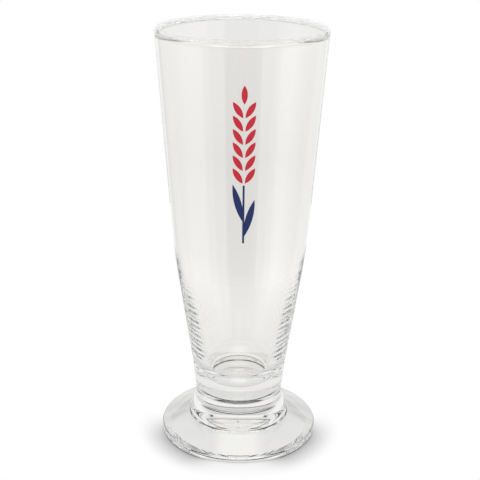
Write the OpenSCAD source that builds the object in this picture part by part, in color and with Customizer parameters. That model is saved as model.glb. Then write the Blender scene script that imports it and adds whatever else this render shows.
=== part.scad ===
// Footed pilsner glass: a tall tapered bowl with a thick base, fused to a pressed round foot,
// with a two-colour ear of grain fired on to the front of the wall.
// Origin at the centre of the foot on the table, +Z up, the print faces -Y. Millimetres.

/* [Overall] */
// Height from the table to the top of the lip
total_h = 205.5; // [190:0.5:225]
// Outside diameter at the lip
rim_d = 80; // [74:0.5:86]
// How far the edge of the foot lies inside the lip, all round
foot_inset = 0.5; // [-4:0.1:4]

/* [Bowl, outside] */
// Height at which the upper and the lower taper of the wall meet
knee_z = 97; // [85:0.5:110]
// Outside diameter where the two tapers meet
knee_d = 64.5; // [60:0.5:70]
// Radius that blends the two tapers
knee_blend_r = 420; // [150:10:600]
// Height of the top of the solid base
base_top_z = 37.5; // [34:0.5:44]
// Outside diameter at the top of the solid base
base_d = 46.8; // [45.5:0.1:52]
// Radius that blends the wall into the solid base
base_blend_r = 70; // [20:5:120]
// Outside diameter of the solid base just above the seam
base_low_d = 44.4; // [43:0.1:46]

/* [Bowl, inside] */
// Thickness of the wall at the lip
rim_wall = 2; // [1.4:0.1:3]
// Height at which the inside leaves the thin wall and draws in
well_knee_z = 90; // [75:0.5:105]
// Thickness of the wall at that height
well_knee_wall = 2.1; // [1.5:0.1:3.5]
// Radius that blends the inside there
well_blend_r = 215; // [80:5:400]
// Height of the floor of the well
well_floor_z = 27.5; // [26.5:0.5:33]
// Diameter at which the side of the well would meet its floor
well_floor_d = 29; // [20:0.2:34]
// Radius of the round bottom of the well
well_corner_r = 17; // [2:0.5:18]

/* [Seam] */
// Height of the face at which bowl and foot are fused
seam_z = 24.6; // [22:0.1:26]
// Width of the groove that the fused edges leave round the seam
groove_w = 2.6; // [0.8:0.1:3]
// Depth of that groove below the neck
groove_h = 1; // [0.2:0.05:1.4]
// Radius of the softened edges of the groove
groove_edge_r = 0.9; // [0.1:0.05:1]

/* [Foot] */
// Diameter of the neck below the seam
neck_d = 43.8; // [42:0.1:45]
// Height at which the neck begins to flare
neck_z = 18.5; // [17:0.1:20]
// Radius of the hollow sweep from the neck into the flare
neck_sweep_r = 6; // [2:0.5:8]
// Diameter of the flare at its foot
flare_d = 50; // [47:0.2:54]
// Height of the rounded shoulder of the flare
flare_z = 11.8; // [11.4:0.1:14]
// Radius of that shoulder
flare_round_r = 5; // [1:0.5:6]
// Height at which the flare meets the dome of the foot
dome_z = 9.2; // [7:0.1:9.6]
// Radius in the corner between flare and dome
dome_fillet_r = 1.5; // [0.5:0.1:2]
// Height of the outer edge of the foot
edge_h = 3.3; // [2.8:0.1:5]
// Radius along the lower edge
edge_low_r = 1.2; // [0.5:0.1:1.3]
// Radius along the upper edge
edge_top_r = 1.3; // [0.5:0.1:1.5]
// How far the hollow under the foot lies inside the edge of the foot, all round
hollow_inset = 5.5; // [4.5:0.5:19.5]
// Depth of the hollow under the foot
hollow_h = 6; // [3:0.1:12]

/* [Print] */
// Thickness of the fired ink
ink_t = 0.12; // [0.08:0.01:0.3]
// Sideways place of the print on the front
print_x = 1.3; // [-4:0.1:4]
// Depth of the top of the print below the lip
print_drop = 19; // [8:0.5:24]
// Gap between the two colours
print_gap = 0.9; // [0.3:0.1:3]
// Width of the stalk
stalk_w = 0.9; // [0.5:0.1:2]
// Height of the stalk
stalk_h = 28; // [22:0.5:32]
// Length of a leaf
leaf_l = 19; // [10:0.5:20]
// Width of a leaf
leaf_w = 3.2; // [2:0.1:5]
// Lean of a leaf from the stalk, in degrees
leaf_lean = 15; // [10:1:22]
// Rows of grains in the ear
ear_rows = 6; // [3:1:6]
// Height from one row of grains to the next
grain_pitch = 6; // [5.4:0.1:6.2]
// Length of a grain
grain_l = 8.4; // [6:0.1:9]
// Width of a grain
grain_w = 2.7; // [2:0.1:2.8]
// Lean of a grain from the middle of the ear, in degrees
grain_lean = 32; // [31:1:40]
// Bare strip up the middle of the ear
ear_split = 1; // [0.6:0.1:2]

/* [Hidden] */

$fn = 128;
// Straight steps in one rounded corner of a profile
corner_steps = 10;
// Most of a side that a rounded corner may take up, if the next corner is rounded too and if it isn't
corner_fit_share = 0.48;
lone_fit_share = 0.97;
// Roundness of the lip, as a share of the wall there
lip_share = 0.47;
// Heights up the stalk at which its two leaves leave it, and the side of each
leaf_height_shares = [0.1, 0.36];
leaf_sides = [1, -1];

rim_r = rim_d / 2;
knee_r = knee_d / 2;
base_r = base_d / 2;
base_low_r = base_low_d / 2;
neck_r = neck_d / 2;
flare_r = flare_d / 2;
seam_r = neck_r - groove_h;
groove_top_z = seam_z + groove_w / 2;
groove_low_z = seam_z - groove_w / 2;
foot_r = rim_r - foot_inset;
hollow_r = foot_r - hollow_inset;
well_floor_r = well_floor_d / 2;
lip_r = rim_wall * lip_share;

// Outside radius of the wall at a height, on its straight tapers
function taper(z, z0, r0, z1, r1) = r0 + (r1 - r0) * (z - z0) / (z1 - z0);
function upper_r(z) = taper(z, knee_z, knee_r, total_h, rim_r);
function lower_r(z) = taper(z, base_top_z, base_r, knee_z, knee_r);
function wall_r(z) = z > knee_z ? upper_r(z) : lower_r(z);
well_knee_r = wall_r(well_knee_z) - well_knee_wall;

// A corner is [radius, height, rounding]; rounded() turns a list of them into profile points
function place(corner) = [corner[0], corner[1]];
function toward(a, b) = (b - a) / norm(b - a);
function corner_half(a, b, c) = acos(toward(b, a) * toward(b, c)) / 2;
function side_fit(b, next) = norm(place(next) - b) * (next[2] == 0 ? lone_fit_share : corner_fit_share);
function bearing(v) = atan2(v[1], v[0]);
function short_turn(d) = d > 180 ? d - 360 : d < -180 ? d + 360 : d;
function arc(centre, r, from, turn) = [
    for (i = [0 : corner_steps])
        centre + r * [cos(from + turn * i / corner_steps), sin(from + turn * i / corner_steps)]
];
function round_corner(before, corner, after) =
    let (
        a = place(before),
        b = place(corner),
        c = place(after),
        half = corner_half(a, b, c),
        reach = min(corner[2] / tan(half), side_fit(b, before), side_fit(b, after)),
        radius = reach * tan(half),
        start = b + toward(b, a) * reach,
        finish = b + toward(b, c) * reach,
        centre = b + toward(b, (start + finish) / 2) * radius / sin(half),
        from = bearing(start - centre)
    )
    arc(centre, radius, from, short_turn(bearing(finish - centre) - from));
function rounded(corners) = [
    for (i = [0 : len(corners) - 1])
        let (
            n = len(corners),
            before = corners[(i + n - 1) % n],
            after = corners[(i + 1) % n]
        )
        each corners[i][2] == 0 ? [place(corners[i])] : round_corner(before, corners[i], after)
];

// The outside of the wall bends at these two corners, and so does the ink on it
wall_bends = [
    [base_r, base_top_z, base_blend_r],
    [knee_r, knee_z, knee_blend_r]
];

bowl_corners = [
    [0, seam_z, 0],
    [seam_r, seam_z, 0],
    [base_low_r, groove_top_z, groove_edge_r],
    each wall_bends,
    [rim_r, total_h, lip_r],
    [rim_r - rim_wall, total_h, lip_r],
    [well_knee_r, well_knee_z, well_blend_r],
    [well_floor_r, well_floor_z, well_corner_r],
    [0, well_floor_z, 0]
];

foot_corners = [
    [hollow_r, 0, 0],
    [foot_r, 0, edge_low_r],
    [foot_r, edge_h, edge_top_r],
    [flare_r, dome_z, dome_fillet_r],
    [flare_r, flare_z, flare_round_r],
    [neck_r, neck_z, neck_sweep_r],
    [neck_r, groove_low_z, groove_edge_r],
    [seam_r, seam_z, 0],
    [0, seam_z, 0]
];

// The hollow under the foot is a cap of a sphere
hollow_sphere_r = (hollow_r * hollow_r + hollow_h * hollow_h) / (2 * hollow_h);
hollow_turn = asin(hollow_r / hollow_sphere_r);
hollow_arc = arc([0, hollow_h - hollow_sphere_r], hollow_sphere_r, 90, -hollow_turn);

module bowl() {
    color("gainsboro")
        rotate_extrude()
            polygon(rounded(bowl_corners));
}

module foot() {
    color("lightgray")
        rotate_extrude()
            polygon(concat(hollow_arc, rounded(foot_corners)));
}

// The print hangs below the lip: the ear on top, then the gap and the stalk
ear_h = ear_rows * grain_pitch + grain_l;
ear_z = total_h - print_drop - ear_h;
stalk_z = ear_z - print_gap - stalk_h;

// Skin of ink over the whole outside of the wall
module ink_skin() {
    wall_line = rounded([[base_low_r, groove_top_z, 0], each wall_bends, [rim_r, total_h, 0]]);
    wall_top = len(wall_line) - 1;
    rotate_extrude()
        polygon([
            each wall_line,
            for (i = [0 : wall_top])
                wall_line[wall_top - i] + [ink_t, 0]
        ]);
}

// A flat figure, drawn with its foot at the origin, laid on the front of the wall
module on_front(foot_z) {
    intersection() {
        ink_skin();
        translate([print_x, 0, foot_z])
            rotate([90, 0, 0])
                linear_extrude(height = rim_d)
                    children();
    }
}

// A pointed oval that stands on its tip
module pointed_oval(l, w) {
    r = (l * l + w * w) / (4 * w);
    translate([0, l / 2])
        intersection_for (side = [-1, 1])
            translate([side * (r - w / 2), 0])
                circle(r = r);
}

module stalk_figure() {
    translate([-stalk_w / 2, 0])
        square([stalk_w, stalk_h]);
    for (i = [0 : len(leaf_sides) - 1])
        translate([0, leaf_height_shares[i] * stalk_h])
            rotate(-leaf_sides[i] * leaf_lean)
                pointed_oval(leaf_l, leaf_w);
}

module ear_figure() {
    for (row = [0 : ear_rows - 1], side = [-1, 1])
        translate([side * ear_split / 2, row * grain_pitch])
            rotate(-side * grain_lean)
                pointed_oval(grain_l, grain_w);
    translate([0, ear_rows * grain_pitch])
        pointed_oval(grain_l, grain_w);
}

module print_stalk() {
    color("midnightblue")
        on_front(stalk_z)
            stalk_figure();
}

module print_ear() {
    color("crimson")
        on_front(ear_z)
            ear_figure();
}

bowl();
foot();
print_stalk();
print_ear();
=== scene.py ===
# %% [markdown]
# # A pilsner glass
# A tall tapered beer glass: a pressed bowl with a thick base, fused to a short neck and a round foot,
# with a small ear of grain fired on to the front in two enamels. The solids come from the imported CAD
# model, which is the fixed frame of this scene. Blender adds what a solid can't show: clear glass with
# its ripples and draw marks, enamel, light and a camera.

# %% Load the frame
import math
from collections import namedtuple

import bmesh
import bpy
from mathutils import Matrix, Vector


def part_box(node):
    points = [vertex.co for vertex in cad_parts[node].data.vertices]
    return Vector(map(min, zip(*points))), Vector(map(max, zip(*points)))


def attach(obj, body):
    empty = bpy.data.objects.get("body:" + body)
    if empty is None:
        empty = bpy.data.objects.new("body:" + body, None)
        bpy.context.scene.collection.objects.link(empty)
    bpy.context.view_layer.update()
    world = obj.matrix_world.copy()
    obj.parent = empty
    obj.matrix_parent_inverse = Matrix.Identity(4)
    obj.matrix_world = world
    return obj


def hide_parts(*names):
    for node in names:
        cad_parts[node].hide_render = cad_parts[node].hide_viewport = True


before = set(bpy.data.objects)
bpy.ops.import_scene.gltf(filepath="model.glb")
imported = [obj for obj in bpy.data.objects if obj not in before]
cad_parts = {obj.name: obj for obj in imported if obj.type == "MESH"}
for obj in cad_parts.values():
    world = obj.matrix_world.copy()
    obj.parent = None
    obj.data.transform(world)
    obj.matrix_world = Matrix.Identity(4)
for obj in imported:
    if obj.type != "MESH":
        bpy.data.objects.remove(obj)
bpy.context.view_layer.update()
scene = bpy.context.scene
print("nodes:", sorted(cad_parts))

# %% [markdown]
# ## Sizes
# The CAD model measures everything in millimetres, so the sizes are kept in millimetres here too, and
# one factor turns them into Blender's metres. A few come straight from the frame: the height, and the
# seam, which is where the foot's node ends. The rest are the radii and heights of the two outlines.

# %% Driving sizes, in millimetres
MM = 0.001
total_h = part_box("bowl")[1].z / MM
seam_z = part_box("foot")[1].z / MM
foot_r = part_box("foot")[1].x / MM

rim_r = 40
rim_wall = 2
lip_share = 0.47
knee_r, knee_z, knee_blend_r = 32.25, 97, 420
base_r, base_top_z, base_blend_r = 23.4, 37.5, 70
base_low_r = 22.2
well_knee_z, well_knee_wall, well_blend_r = 90, 2.1, 215
well_floor_r, well_floor_z, well_corner_r = 14.5, 27.5, 17

neck_r, neck_z, neck_sweep_r = 21.9, 18.5, 6
flare_r, flare_z, flare_round_r = 25, 11.8, 5
dome_z, dome_fillet_r = 9.2, 1.5
edge_h, edge_low_r, edge_top_r = 3.3, 1.2, 1.3
hollow_r, hollow_h = 34, 6

groove_w, groove_h, groove_edge_r = 2.6, 1.0, 0.9
seam_r = neck_r - groove_h


def in_metres(reach):
    """A pair of sizes in Blender's metres."""
    return [mm * MM for mm in reach]


print("height", round(total_h, 2), "mm, seam at", round(seam_z, 2), "mm")
print("foot radius", round(foot_r, 2), "mm")

# %% [markdown]
# ## Camera
# The camera stands where the picture was taken from. Its place, tilt and focal length were worked out
# from the two ellipses that the lip and the foot make in the picture. Blender's lens is given in
# millimetres on a 36 mm sensor, so the focal length in pixels is scaled by the width of the picture.

# %% Make the camera
picture_px = 480
focal_px = 990.2
sensor_mm = 36
camera_place = Vector((-0.09, -452.8, 273.1)) * MM
camera_tilt = math.radians(20.683)
camera_roll = math.radians(0.564)

camera_data = bpy.data.cameras.new("camera")
camera_data.sensor_width = sensor_mm
camera_data.lens = focal_px / picture_px * sensor_mm
camera = bpy.data.objects.new("camera", camera_data)
camera.matrix_world = (
    Matrix.Translation(camera_place)
    @ Matrix.Rotation(math.pi / 2 - camera_tilt, 4, "X")
    @ Matrix.Rotation(camera_roll, 4, "Z")
)
scene.collection.objects.link(camera)
scene.camera = camera
print("lens", round(camera_data.lens, 2), "mm")

# %% [markdown]
# ## Shader sums
# Shaders are node trees, but a sum is easier to read than a picture of boxes. A Wire is one socket in a
# tree. Arithmetic on it adds Math nodes, so `1 - mask * 0.5` reads as it would anywhere in Python. Any
# other node comes from its node() method: the type, the settings, then what goes into its sockets.

# %% A small class for shader sums
class Wire:
    """One socket of a node tree, with sums that add Math nodes."""

    def __init__(self, tree, socket=None):
        self.tree = tree
        self.socket = socket

    def node(self, kind, settings=None, inputs=None, output=0):
        made = self.tree.nodes.new("ShaderNode" + kind)
        for name, value in (settings or {}).items():
            if name == "stops":
                set_stops(made.color_ramp, value)
            else:
                setattr(made, name, value)
        for name, value in (inputs or {}).items():
            if isinstance(value, Wire):
                self.tree.links.new(value.socket, made.inputs[name])
            else:
                made.inputs[name].default_value = value
        return Wire(self.tree, made.outputs[output] if made.outputs else None)

    def math(self, operation, *values):
        return self.node("Math", {"operation": operation}, dict(enumerate(values)))

    def __add__(self, other):
        return self.math("ADD", self, other)

    def __sub__(self, other):
        return self.math("SUBTRACT", self, other)

    def __rsub__(self, other):
        return self.math("SUBTRACT", other, self)

    def __mul__(self, other):
        return self.math("MULTIPLY", self, other)

    __radd__ = __add__
    __rmul__ = __mul__

    def __truediv__(self, other):
        return self.math("DIVIDE", self, other)

    def __rtruediv__(self, other):
        return self.math("DIVIDE", other, self)

    def between(self, low, high, at_low=0.0, at_high=1.0):
        """A soft step from one value to another, as this one goes from low to high."""
        settings = {"interpolation_type": "SMOOTHSTEP"}
        ends = {"From Min": low, "From Max": high, "To Min": at_low, "To Max": at_high}
        return self.node("MapRange", settings, {"Value": self, **ends})


def set_stops(ramp, stops):
    """Give a ramp its stops of (place, grey level)."""
    while len(ramp.elements) < len(stops):
        ramp.elements.new(0.5)
    for element, (place, value) in zip(ramp.elements, stops):
        element.position = place
        element.color = (value, value, value, 1)


def empty_tree(owner):
    """The bare node tree of a material or world, as a Wire that starts nowhere."""
    owner.use_nodes = True
    owner.node_tree.nodes.clear()
    return Wire(owner.node_tree)


# %% [markdown]
# Three sums come back in several shaders: the parts of a vector, the distance from the axis of the
# glass, and a level that follows a list of stops. A ramp keeps colours up to 1, so its levels are held
# as shares of the brightest one. They are greys, so a Math node may take them as numbers.

# %% Sums that several shaders share
brightest = 2


def split(vector, axes):
    """The named parts of a vector, each as a Wire."""
    return [vector.node("SeparateXYZ", None, {0: vector}, axis) for axis in axes]


def flat_length(tree, x, y):
    """Distance from the axis of the glass."""
    return tree.math("SQRT", x * x + y * y)


def level_ramp(tree, stops, place):
    """The level at a place from 0 to 1, from stops of (place, level)."""
    shares = [(stop, level / brightest) for stop, level in stops]
    return tree.node("ValToRGB", {"stops": shares}, {"Fac": place}) * brightest


# %% [markdown]
# ## Studio
# Clear glass has no colour of its own: it shows what stands round it. Straight through the wall of the
# bowl that is the white of the studio. Its surfaces also mirror a little of the rest of the room, such
# as the dim side behind the camera, and that makes the soft grey band down the front. The room could be
# built from walls and lamps, but then a change to one of them changes every line in the glass. Here it
# is a list of grey levels by direction, in degrees: 0 is the camera's side, and the list starts and
# ends straight behind the glass. The Light Path node counts how often a ray has been mirrored, and so
# tells a look through the glass from a mirror image.

# %% What the glass sees in a mirror image
round_the_room = [
    (-180, 1.0), (-151, 1.0), (-146, 0.75), (-120, 0.85), (-95, 1.0), (-85, 1.25), (-72, 1.2), (-58, 1.0),
    (-54, 0.95), (-51, 0.55), (-24, 0.55), (-22, 0.3), (25, 0.3), (27, 1.0), (50, 1.0), (53.5, 1.4),
    (75, 1.35), (95, 1.0), (120, 0.9), (146, 0.85), (151, 0.95), (180, 0.95),
]
# The counts of a Light Path are whole numbers, so half of one tells them apart
half_count = 0.5


def mirrors_met(tree):
    """How often a ray has been mirrored on its way."""
    return tree.node("LightPath", output="Glossy Depth")


def mirrored_once(tree):
    """1 on a ray that has been mirrored exactly once."""
    return tree.math("COMPARE", mirrors_met(tree), 1, half_count)


def seen_in_glass(tree):
    """1 on a ray that comes from glass, mirrored or bent."""
    mirrored = tree.node("LightPath", output="Is Glossy Ray")
    bent = tree.node("LightPath", output="Is Transmission Ray")
    return tree.math("MAXIMUM", mirrored, bent)


def mirror_light(tree, x, y):
    """Light from one direction round the glass."""
    turn = tree.math("ARCTAN2", x, 0 - y) / (2 * math.pi) + 0.5
    stops = [(degrees / 360 + 0.5, level) for degrees, level in round_the_room]
    return level_ramp(tree, stops, turn)


print("room in", len(round_the_room), "levels")

# %% [markdown]
# ## Table
# The table is one large disc, a hair below the foot so that the two surfaces never share a plane. The
# camera sees it as plain white, which is a glow at a strength of exactly 1. Only close to the foot, in
# front and at the sides, does it see the matt sheet that keeps the shadow of the glass.

# %% Where the table keeps the shadow
table_r = 4000
table_drop = 0.1
table_sides = 96
table_white = 0.93
shadow_reach = (40, 54)
# Direction round the glass, from -1 straight behind it to 1 straight in front
shadow_starts = (-0.3, 0.45)
shadow_thins = (0.8, 1.0)
shadow_in_front = 0.2


def kept_shadow(y, away):
    """1 where the camera sees the matt sheet, 0 where it sees plain white."""
    front = 0 - y / away
    turned = front.between(*shadow_starts) * front.between(*shadow_thins, 1.0, shadow_in_front)
    return turned * away.between(*in_metres(shadow_reach), 1.0, 0.0)


# %% [markdown]
# Through the thick foot the table shows a little darker than white, and darker behind the foot than in
# front. That is painted shade, for the light that the glass takes from the table. A glass also focuses
# light on the table, and that needs far more samples than a still of this size gets. Two pale patches of
# painted light stand for it, one under the front of the foot and one behind its middle. They show only
# through the glass.

# %% How the table shows through the glass
# Painted shade of the glass on the table, lighter in front of the foot and darker behind it
glass_shade_levels = (0.92, 0.86)
near_turn = (-10, 10)
near_reach = (60, 160)
table_span = 1300
table_levels = [(0, 0.92), (120, 0.92), (240, 0.84), (342, 0.82), (493, 0.795), (711, 0.83), (1130, 0.87)]
front_half, front_end, front_more = (6, 14), (-14, -8), 0.15
rear_half, rear_start, rear_end, rear_more = (4, 8), (17, 22), (45, 55), 0.09


def pale_patches(tree, x, y):
    """What the focused light adds to the level of the table."""
    beside = tree.math("ABSOLUTE", x)
    front = beside.between(*in_metres(front_half), 1, 0) * y.between(*in_metres(front_end), 1, 0)
    rear = beside.between(*in_metres(rear_half), 1, 0) * y.between(*in_metres(rear_start))
    rear = rear * y.between(*in_metres(rear_end), 1, 0)
    return front * front_more + rear * rear_more


def table_through_glass(tree, x, y, away):
    """Level of the table on a ray that the glass has bent."""
    # Painted shade near the foot, plus the two patches of painted light
    close = y.between(*in_metres(near_turn), *glass_shade_levels) + pale_patches(tree, x, y)
    stops = [(mm / table_span, level) for mm, level in table_levels]
    distant = level_ramp(tree, stops, away / (table_span * MM))
    return close + away.between(*in_metres(near_reach)) * (distant - close)


# %% [markdown]
# The shader of the table mixes the two: a matt sheet, and a glow that is white for the camera and has
# its levels for the glass. Far from the glass, a mirror image shows the levels of the room instead.

# %% Make the table
mirror_reach = (90, 160)
glow_share = 0.85


def disc(name, radius, height, sides):
    mesh = bpy.data.meshes.new(name)
    turns = [2 * math.pi * i / sides for i in range(sides)]
    ring = [(radius * math.cos(t) * MM, radius * math.sin(t) * MM, height * MM) for t in turns]
    mesh.from_pydata(ring, [], [range(sides)])
    made = bpy.data.objects.new(name, mesh)
    scene.collection.objects.link(made)
    return made


def table_material():
    material = bpy.data.materials.new("matt_white_table")
    tree = empty_tree(material)
    x, y = split(tree.node("NewGeometry", output="Position"), "XY")
    away = flat_length(tree, x, y)
    far_off = away.between(*in_metres(mirror_reach))
    in_glass = seen_in_glass(tree)
    camera_ray = tree.node("LightPath", output="Is Camera Ray")
    through = table_through_glass(tree, x, y, away)
    mirrored = mirrored_once(tree) * far_off * (mirror_light(tree, x, y) - through)
    glow = tree.node("Emission", None, {"Color": 1 - in_glass * (1 - through) + mirrored})
    matt = tree.node("BsdfDiffuse", None, {"Color": (table_white,) * 3 + (1,)})
    white_out = camera_ray * (1 - kept_shadow(y, away))
    share = in_glass * tree.math("MAXIMUM", far_off, glow_share) + white_out
    sheet = tree.node("MixShader", None, {0: share, 1: matt, 2: glow})
    tree.node("OutputMaterial", None, {"Surface": sheet})
    return material


table = disc("table", table_r, -table_drop, table_sides)
table.data.materials.append(table_material())
print("table of", table_r * 2, "mm")

# %% [markdown]
# ## Room
# The room is the world shader. What a thick base and a foot bend into view are the walls of the room,
# squeezed into fine lines. So each wall is a ramp of levels from the floor, 0, to the ceiling, 1, and
# its dark bands draw the dark lines in the glass: one ramp for the back wall, one for the front wall
# and one for the two sides.

# %% The walls of the room
wall_level = 1.2
back_stops = [
    (0.0, 0.85), (0.12, 0.8), (0.17, 0.5), (0.25, 0.5), (0.29, 0.85), (0.35, 0.85), (0.375, 0.03),
    (0.45, 0.03), (0.48, 0.7), (0.58, 0.8), (0.64, 0.55), (0.72, 0.55), (0.77, 0.95), (0.85, 0.95),
    (0.92, 0.85), (1.0, 0.85),
]
side_stops = [
    (0.0, 0.9), (0.05, 0.7), (0.1, 0.4), (0.22, 0.4), (0.26, 0.8), (0.34, 0.8), (0.38, 0.9), (0.46, 0.95),
    (0.65, 1.0), (0.75, 1.0), (0.92, 0.85), (1.0, 0.85),
]
front_stops = [
    (0.0, 0.8), (0.05, 0.5), (0.1, 0.2), (0.2, 0.2), (0.24, 0.7), (0.33, 0.8), (0.37, 0.1), (0.45, 0.1),
    (0.5, 0.6), (0.6, 0.8), (1.0, 0.85),
]
# Where each wall takes over from the sides, from -1 straight to the front to 1 straight to the back
back_wall = (0.8, 0.93)
front_wall = (-0.8, -0.45)


def wall_light(tree, rise, ahead):
    """Light from the walls, by height and by direction."""
    ramps = [level_ramp(tree, stops, rise) for stops in (side_stops, back_stops, front_stops)]
    side, back, front = [ramp * wall_level for ramp in ramps]
    to_back = ahead.between(*back_wall)
    to_front = ahead.between(*front_wall, 1, 0)
    return side + to_back * (back - side) + to_front * (front - side)


# %% [markdown]
# A ray that the glass keeps mirroring inside comes out dim, as it does in a real glass after a long
# way. That makes the ripples and the edge of the foot crisp and dark. The round lip would go dark by
# the same rule, where the real one is clear, so light that runs round in it stays bright. A ray that
# has come through the lip is known by its Transparent Depth, because the lip has some Alpha.

# %% Light that has been mirrored many times
long_mirrors, long_level = 4.5, 0.1
lip_mirrors, lip_level = 18.5, 1.1


def long_way_light(tree, wall):
    """The light of the wall, or a level of its own on a ray that has come a long way."""
    long_way = tree.math("GREATER_THAN", mirrors_met(tree), long_mirrors)
    through_lip = tree.math("MINIMUM", tree.node("LightPath", output="Transparent Depth"), 1)
    in_lip = through_lip * tree.math("GREATER_THAN", mirrors_met(tree), lip_mirrors)
    level = long_level + in_lip * (lip_level - long_level)
    return wall + long_way * (level - wall)


# %% [markdown]
# The bright streak on the front of the foot is a lamp above and behind the camera. Only the outer
# surface of the glass mirrors it: inside the glass its image would add hard white patches. A ray that
# has not yet been bent into the glass has a Transmission Depth of 0.

# %% A lamp for the outer surface alone
lamp_sides = (0.4, 0.7)
lamp_foot = (0.4, 0.5)
lamp_top = (0.9, 0.97)
lamp_back = (-0.2, -0.1)
lamp_level = 5


def lamp_on_surface(tree, x, y, rise):
    """Light of the lamp, on rays that the outer surface has mirrored."""
    times_bent = tree.node("LightPath", output="Transmission Depth")
    outer = tree.math("LESS_THAN", times_bent, half_count)
    across = tree.math("ABSOLUTE", x).between(*lamp_sides, 1, 0)
    up = rise.between(*lamp_foot) * rise.between(*lamp_top, 1, 0)
    behind_camera = y.between(*lamp_back, 1, 0)
    return mirrored_once(tree) * outer * across * up * behind_camera * lamp_level


# %% [markdown]
# Now the room itself. The camera sees white. Matt surfaces get an even light, so that a colour comes
# out about as it is written. Glass sees the walls, with the levels of the mirror image low down, and a
# straight look through it finds the open white of the studio.

# %% Make the room
room_light = 0.76
wall_white = 0.8
open_view = 0.9
mirror_rise = (0.05, 0.14)
open_rise = (0.2, 0.3)


def make_room():
    world = bpy.data.worlds.new("room")
    scene.world = world
    tree = empty_tree(world)
    x, y, rise = split(tree.node("TexCoord", output="Generated"), "XYZ")
    ahead = y / flat_length(tree, x, y)
    wall = long_way_light(tree, wall_light(tree, rise, ahead))
    low_mirror = mirrored_once(tree) * rise.between(*mirror_rise, 1, 0)
    mirrored = low_mirror * (mirror_light(tree, x, y) - wall) + lamp_on_surface(tree, x, y, rise)
    glass_light = wall_white * (wall + mirrored)
    straight = 1 - tree.math("MINIMUM", mirrors_met(tree), 1)
    glass_light = glass_light + straight * rise.between(*open_rise, 1, 0) * (open_view - glass_light)
    camera_ray = tree.node("LightPath", output="Is Camera Ray")
    in_glass = seen_in_glass(tree)
    unseen = in_glass * glass_light + (1 - in_glass) * room_light
    light = tree.node("Background", None, {"Color": camera_ray + (1 - camera_ray) * unseen})
    tree.node("OutputWorld", None, {"Surface": light})


make_room()
print("room light", room_light)

# %% [markdown]
# ## Lamp
# One long soft box hangs over the glass, along the line of sight. It lights the enamel and the table,
# and because it is narrow from side to side it throws the shadow of the foot to the left and right. The
# glass doesn't show it: its image would stand in the base as a hard white patch.

# %% Hang the soft box
box_w, box_l = 500, 1100
box_place = Vector((0, 0, 1200)) * MM
box_watts = 1.8


def soft_box(name, place, width, length, watts):
    lamp = bpy.data.lights.new(name, "AREA")
    lamp.shape = "RECTANGLE"
    lamp.size = width * MM
    lamp.size_y = length * MM
    lamp.energy = watts
    made = bpy.data.objects.new(name, lamp)
    made.location = place
    made.visible_glossy = False
    made.visible_transmission = False
    scene.collection.objects.link(made)


soft_box("soft_box", box_place, box_w, box_l, box_watts)
scene.view_settings.view_transform = "Standard"
print("soft box", box_w, "x", box_l, "mm,", box_watts, "W")

# %% [markdown]
# Light bounces many times inside a thick glass base before it comes out, so the limits on bounces are
# raised. Light that the glass focuses is left out, as the table's two patches stand for it, and so the
# glass throws a plain soft shadow.

# %% Let light bounce in the glass
most_bounces = 1024
scene.cycles.max_bounces = most_bounces
scene.cycles.transmission_bounces = most_bounces
scene.cycles.glossy_bounces = most_bounces
scene.cycles.caustics_refractive = False
scene.cycles.caustics_reflective = False
print("up to", most_bounces, "bounces")

# %% [markdown]
# ## Outlines
# Both pieces are bodies of revolution. A maker's drawing gives the corners of the outline and a
# rounding for each, so that is what the lists hold: radius, height, rounding. One function turns the
# corners into fine arcs. A corner with no rounding stays a crisp edge. Where two roundings meet on one
# side, each may take up less than half of it, and a lone one nearly all.

# %% Round the corners of an outline
Ring = namedtuple("Ring", "r z crisp")
arc_step = math.radians(2.5)
least_steps = 6
corner_fit_share = 0.48
lone_fit_share = 0.97


def rounded(corners):
    """The outline through corners of (radius, height, rounding), as rings."""
    rings = []
    for i, (r, z, rounding) in enumerate(corners):
        if rounding == 0:
            rings.append(Ring(r, z, True))
            continue
        here = Vector((r, z))
        before = Vector(corners[i - 1][:2]) - here
        after = Vector(corners[i + 1][:2]) - here
        half = before.angle(after) / 2
        room = [
            side.length * (corner_fit_share if next_to[2] else lone_fit_share)
            for side, next_to in ((before, corners[i - 1]), (after, corners[i + 1]))
        ]
        reach = min(rounding / math.tan(half), *room)
        radius = reach * math.tan(half)
        start = here + before.normalized() * reach
        middle = (before.normalized() + after.normalized()).normalized()
        centre = here + middle * radius / math.sin(half)
        first = start - centre
        turn = math.pi - 2 * half
        if first.x * after.y - first.y * after.x < 0:
            turn = -turn
        steps = max(least_steps, math.ceil(abs(turn) / arc_step))
        for k in range(steps + 1):
            spoke = Matrix.Rotation(turn * k / steps, 2) @ first
            rings.append(Ring(*(centre + spoke), False))
    return rings


# %% [markdown]
# Long straight stretches get extra rings, because the ripples of a later step need points to move.

# %% Add rings along a straight stretch
def divided(rings, longest):
    """The same rings, with more between them where they are further apart than longest."""
    made = [rings[0]]
    for ring in rings[1:]:
        last = made[-1]
        count = math.ceil(math.dist(last[:2], ring[:2]) / longest)
        for k in range(1, count):
            share = k / count
            r = last.r + (ring.r - last.r) * share
            z = last.z + (ring.z - last.z) * share
            made.append(Ring(r, z, False))
        made.append(ring)
    return made


# %% [markdown]
# ## Spinning an outline
# A Screw modifier would spin an outline too, but the glass needs more than a perfect lathe gives: the
# inside of a pressed bowl is a little wavy. So the rings are built point by point in bmesh, and each
# ring may pass its points through a function that moves them by a few hundredths of a millimetre.

# %% Points and faces between rings
sides = 720
on_axis = 1e-6
on_seam = 1e-4


def ring_points(made, ring, waviness):
    """The points of one ring, or the one point where the outline meets the axis."""
    if ring.r < on_axis:
        return [made.verts.new((0, 0, ring.z * MM))]
    points = []
    for k in range(sides):
        turn = 2 * math.pi * k / sides
        r = ring.r + (waviness(ring, turn) if waviness else 0)
        points.append(made.verts.new((r * math.cos(turn) * MM, r * math.sin(turn) * MM, ring.z * MM)))
    return points


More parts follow.
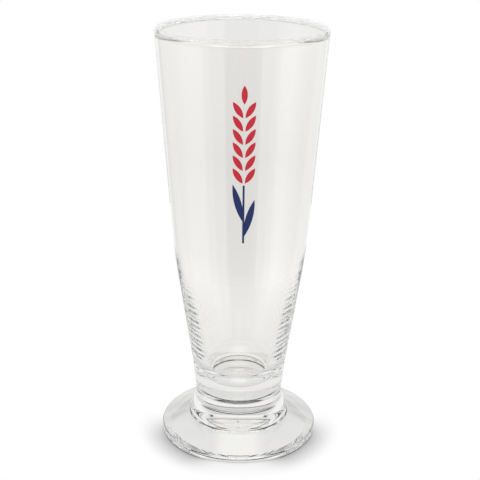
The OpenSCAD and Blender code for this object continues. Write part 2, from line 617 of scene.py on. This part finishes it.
def faces_between(made, low, high, slot):
    """The band of faces between the points of two rings."""
    for k in range(sides):
        j = (k + 1) % sides
        if len(low) == 1:
            corners = (low[0], high[j], high[k])
        elif len(high) == 1:
            corners = (low[k], low[j], high[0])
        else:
            corners = (low[k], low[j], high[j], high[k])
        face = made.faces.new(corners)
        face.smooth = True
        face.material_index = slot


# %% [markdown]
# A crisp corner keeps its edge by marking the edges of its ring as sharp. The faces at the seam get the
# second material slot, because the fused glass there is no real surface.

# %% Spin rings into a closed mesh
def spun(name, rings, seam_height, waviness=None):
    """A closed mesh from rings that start and end on the axis. Faces at seam_height get slot 1."""
    mesh = bpy.data.meshes.new(name)
    made = bmesh.new()
    loops = [ring_points(made, ring, waviness) for ring in rings]
    for low, high, ring, next_ring in zip(loops, loops[1:], rings, rings[1:]):
        off_seam = max(abs(ring.z - seam_height), abs(next_ring.z - seam_height))
        faces_between(made, low, high, 1 if off_seam < on_seam else 0)
    for ring, loop in zip(rings, loops):
        if ring.crisp and len(loop) > 1:
            for k in range(sides):
                made.edges.get((loop[k], loop[(k + 1) % sides])).smooth = False
    bmesh.ops.recalc_face_normals(made, faces=made.faces)
    made.to_mesh(mesh)
    made.free()
    piece = bpy.data.objects.new(name, mesh)
    scene.collection.objects.link(piece)
    print(name, "has", len(mesh.polygons), "faces")
    return piece


# %% [markdown]
# ## Bowl
# The bowl is pressed in a mould, and its outline is two tapers that meet in a soft knee, with a round
# well inside. The outline runs up the outside, over the lip and down the inside to the axis.

# %% Draw the outline of the bowl
def wall_radius(z):
    """Outside radius of the wall on its two straight tapers."""
    knee = (knee_z, knee_r)
    low, high = ((base_top_z, base_r), knee) if z < knee_z else (knee, (total_h, rim_r))
    return low[1] + (high[1] - low[1]) * (z - low[0]) / (high[0] - low[0])


lip_r = rim_wall * lip_share
outside_corners = [
    (0, seam_z, 0),
    (seam_r, seam_z, 0),
    (base_low_r, seam_z + groove_w / 2, groove_edge_r),
    (base_r, base_top_z, base_blend_r),
    (knee_r, knee_z, knee_blend_r),
    (rim_r, total_h, lip_r),
]
inside_corners = [
    (rim_r - rim_wall, total_h, lip_r),
    (wall_radius(well_knee_z) - well_knee_wall, well_knee_z, well_blend_r),
    (well_floor_r, well_floor_z, well_corner_r),
    (0, well_floor_z, 0),
]
bowl_outline = rounded(outside_corners + inside_corners)
print("bowl outline of", len(bowl_outline), "points")

# %% [markdown]
# The outside of a pressed bowl is true, but the plunger leaves the inside of the thick lower wall
# faintly rippled, like a washboard. Seen edge-on at the sides, those ripples break up the view in short
# dark and light strokes. They fade out where the wall gets thin. Two waves of different length are
# added, and each wanders a little round the bowl, so that no stroke repeats. Bump in the material would
# not do: light bends through the wall by its real shape.

# %% The marks that pressing leaves
ripple_h = 0.03
ripple_wander = 0.6
# Length in millimetres, lobes round the bowl and their phase
ripple_waves = [(2.7, 3, 0.4), (4.1, -4, 1.9)]
ripple_low = (34, 42)
ripple_high = (58, 96)
ripple_sides = (0.7, 0.9)


def soft_step(value, low, high):
    share = min(1, max(0, (value - low) / (high - low)))
    return share * share * (3 - 2 * share)


def plunger_ripple(ring, turn):
    """Ripples on the inside of the lower wall, in millimetres."""
    envelope = soft_step(ring.z, *ripple_low) * (1 - soft_step(ring.z, *ripple_high))
    envelope *= soft_step(abs(math.cos(turn)), *ripple_sides)
    wave = sum(
        math.sin(2 * math.pi * ring.z / length + ripple_wander * math.sin(lobes * turn + phase))
        for length, lobes, phase in ripple_waves
    )
    return ripple_h * envelope * wave


# %% [markdown]
# The ink of the print starts exactly on the wall, and two surfaces in one place flicker. So the wall
# lies a few hundredths of a millimetre deeper under the print, in a bed with soft edges.

# %% Make the bowl
bed_h = 0.05
bed_front = (0.93, 0.97)
bed_low = (104, 112)
bed_high = (188, 196)
least_wall = 1.2
plain_step = 3
ripple_step = 0.4


def print_bed(ring, turn):
    """How far the outside lies deeper under the print, in millimetres."""
    up = soft_step(ring.z, *bed_low) * (1 - soft_step(ring.z, *bed_high))
    return -bed_h * soft_step(-math.sin(turn), *bed_front) * up


def bowl_waviness(ring, turn):
    is_outside = ring.r > wall_radius(max(ring.z, base_top_z)) - least_wall
    return print_bed(ring, turn) if is_outside else plunger_ripple(ring, turn)


lip = max(range(len(bowl_outline)), key=lambda i: bowl_outline[i].z)
ripple_start = next(i for i in range(lip, len(bowl_outline)) if bowl_outline[i].z < ripple_high[1])
plain_rings = divided(bowl_outline[:ripple_start], plain_step)
ripple_rings = divided(bowl_outline[ripple_start:], ripple_step)
bowl = spun("bowl_glass", plain_rings + ripple_rings, seam_z, bowl_waviness)

# %% [markdown]
# ## Foot
# The foot is pressed in one piece with its neck: a flare like a button, a low dome, a rounded edge and
# a hollow underneath, so that it stands on a ring. The hollow is a cap of a sphere, drawn as an arc.

# %% Make the foot
hollow_sphere_r = (hollow_r ** 2 + hollow_h ** 2) / (2 * hollow_h)
hollow_turn = math.asin(hollow_r / hollow_sphere_r)
hollow_steps = 28
foot_step = 2.5


def hollow_ring(step):
    turn = hollow_turn * step / hollow_steps
    z = hollow_h - hollow_sphere_r * (1 - math.cos(turn))
    return Ring(hollow_sphere_r * math.sin(turn), z, step == hollow_steps)


foot_corners = [
    (hollow_r, 0, 0),
    (foot_r, 0, edge_low_r),
    (foot_r, edge_h, edge_top_r),
    (flare_r, dome_z, dome_fillet_r),
    (flare_r, flare_z, flare_round_r),
    (neck_r, neck_z, neck_sweep_r),
    (neck_r, seam_z - groove_w / 2, groove_edge_r),
    (seam_r, seam_z, 0),
    (0, seam_z, 0),
]
foot_rings = [hollow_ring(step) for step in range(hollow_steps + 1)] + rounded(foot_corners)[1:]
foot = spun("foot_glass", divided(foot_rings, foot_step), seam_z)

# %% [markdown]
# ## Clear glass
# Soda-lime glass bends light by 1.52 and takes a few hundredths of it, a little more at the blue end.
# Fire polishing leaves it smooth, but not flat: a slow unevenness runs up the wall, the way the glass
# was drawn, so a Noise texture stretched along the height feeds a faint bump. A second Noise gives the
# faint smears of a glass that has been wiped, as a trace of roughness.

# %% Unevenness and smears
glass_bend = 1.52
draw_scale = (60, 60, 9)
draw_detail = 2
draw_height = 0.004
smear_scale = 45
smear_detail = 3
smear_part = (0.45, 0.8)
smear_rough = 0.012


def drawn_bump(tree, place):
    drawn = tree.node("Mapping", None, {"Vector": place, "Scale": draw_scale})
    streaks = tree.node("TexNoise", None, {"Vector": drawn, "Scale": 1.0, "Detail": draw_detail})
    return tree.node("Bump", None, {"Height": streaks, "Strength": 1.0, "Distance": draw_height * MM})


def smeared_polish(tree, place):
    smears = tree.node("TexNoise", None, {"Vector": place, "Scale": smear_scale, "Detail": smear_detail})
    return smears.between(*smear_part, 0.0, smear_rough)


# %% [markdown]
# Two things depend on the height, and both use Alpha. The real lip is so round and thin that it is
# little more than a fine line, so most of what lies behind it shows straight through. And with focused
# light left out, no light would get through the wall to the back of the print, which would turn black
# from behind. So light on its way to a matt surface passes the upper bowl as if it weren't there.

# %% Where light passes the glass
lip_reach = (203, 204)
lip_clear = 0.8
stray_reach = (98, 104)


def glass_body(tree, height):
    """1 where the glass is glass, less where light passes straight through."""
    body = 1 - height.between(*in_metres(lip_reach)) * lip_clear
    diffuse_ray = tree.node("LightPath", output="Is Diffuse Ray")
    shadow_ray = tree.node("LightPath", output="Is Shadow Ray")
    stray = tree.math("MAXIMUM", diffuse_ray, shadow_ray)
    return body * (1 - stray * height.between(*in_metres(stray_reach)))


# %% [markdown]
# In the groove round the seam, where the two edges were melted together, the glass lies in shade. That
# shade is painted: a hair-thin dark line in the colour of the glass at the height of the seam.

# %% Mix the glass
crease_shade_h = 0.3
crease_shade_core = 0.6
# Colour of the painted shade in the crease of the seam
crease_shade_tint = (0.01, 0.01, 0.01, 1)


def clear_glass(name, tint):
    material = bpy.data.materials.new(name)
    tree = empty_tree(material)
    place = tree.node("TexCoord", output="Object")
    [height] = split(place, "Z")
    off_seam = tree.math("ABSOLUTE", height - seam_z * MM)
    # Painted shade: a thin dark line along the crease of the seam
    crease_shade = off_seam.between(crease_shade_h * crease_shade_core * MM, crease_shade_h * MM, 1.0, 0.0)
    colour = tree.node("Mix", {"data_type": "RGBA"}, {"Factor": crease_shade, 6: (*tint, 1), 7: crease_shade_tint}, 2)
    shader = tree.node("BsdfPrincipled", None, {
        "Base Color": colour,
        "Roughness": smeared_polish(tree, place),
        "IOR": glass_bend,
        "Transmission Weight": 1.0,
        "Alpha": glass_body(tree, height),
        "Normal": drawn_bump(tree, place),
    })
    tree.node("OutputMaterial", None, {"Surface": shader})
    return material


# %% [markdown]
# Where bowl and foot are fused there is no surface left in the glass, but each piece is still a closed
# mesh. The two faces of the seam therefore get a material that lets light straight through.

# %% Dress bowl and foot
bowl_tint = (0.99, 0.985, 0.968)
foot_tint = (0.99, 0.985, 0.965)


def fused_seam():
    material = bpy.data.materials.new("fused_seam")
    tree = empty_tree(material)
    shader = tree.node("BsdfPrincipled", None, {"Base Color": (1, 1, 1, 1), "Alpha": 0.0})
    tree.node("OutputMaterial", None, {"Surface": shader})
    return material


seam = fused_seam()
for piece, tint in ((bowl, bowl_tint), (foot, foot_tint)):
    piece.data.materials.append(clear_glass("clear_" + piece.name, tint))
    piece.data.materials.append(seam)
    print(piece.name, "is", [material.name for material in piece.data.materials])

# %% [markdown]
# ## Enamel
# The print is ground glass with pigment, screened on and fired until it fuses. It is opaque, a little
# thick and satin rather than glossy. The CAD nodes already have the right shape, so they stay and only
# get the finish: a slight mottle in the colour, and the faint weave that the screen leaves behind.

# %% Fire the enamel
enamel_red = (0.74, 0.020, 0.042)
enamel_blue = (0.012, 0.030, 0.150)
mottle_scale = 900
mottle_detail = 3
mottle_part = (0.3, 0.7)
deep_share = 0.86
pale_share, pale_lift = 1.1, 0.004
enamel_rough = (0.28, 0.42)
screen_pitch = 0.25
screen_h = 0.01
screen_strength = 0.25


def enamel(name, colour):
    material = bpy.data.materials.new(name)
    tree = empty_tree(material)
    place = tree.node("TexCoord", output="Object")
    mottle = tree.node("TexNoise", None, {"Vector": place, "Scale": mottle_scale, "Detail": mottle_detail})
    deep = tuple(deep_share * c for c in colour) + (1,)
    pale = tuple(min(1, pale_share * c + pale_lift) for c in colour) + (1,)
    tone = tree.node("Mix", {"data_type": "RGBA"}, {"Factor": mottle, 6: deep, 7: pale}, 2)
    x, z = split(place, "XZ")
    turns = 2 * math.pi / (screen_pitch * MM)
    relief = tree.math("SINE", x * turns) * tree.math("SINE", z * turns) + mottle
    screen = {"Height": relief, "Strength": screen_strength, "Distance": screen_h * MM}
    shader = tree.node("BsdfPrincipled", None, {
        "Base Color": tone,
        "Roughness": mottle.between(*mottle_part, *enamel_rough),
        "Normal": tree.node("Bump", None, screen),
    })
    tree.node("OutputMaterial", None, {"Surface": shader})
    return material


prints = {
    "print_stalk": enamel("blue_enamel", enamel_blue),
    "print_ear": enamel("red_enamel", enamel_red),
}
for node_name, material in prints.items():
    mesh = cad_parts[node_name].data
    mesh.materials.clear()
    mesh.materials.append(material)
    print(node_name, "is", material.name)

# %% [markdown]
# ## Fit to the frame
# Each new piece rides on the root body, and the CAD node that it stands for is hidden.

# %% Tie the pieces to the frame
for piece, node_name in ((bowl, "bowl"), (foot, "foot")):
    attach(piece, "root")
    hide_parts(node_name)
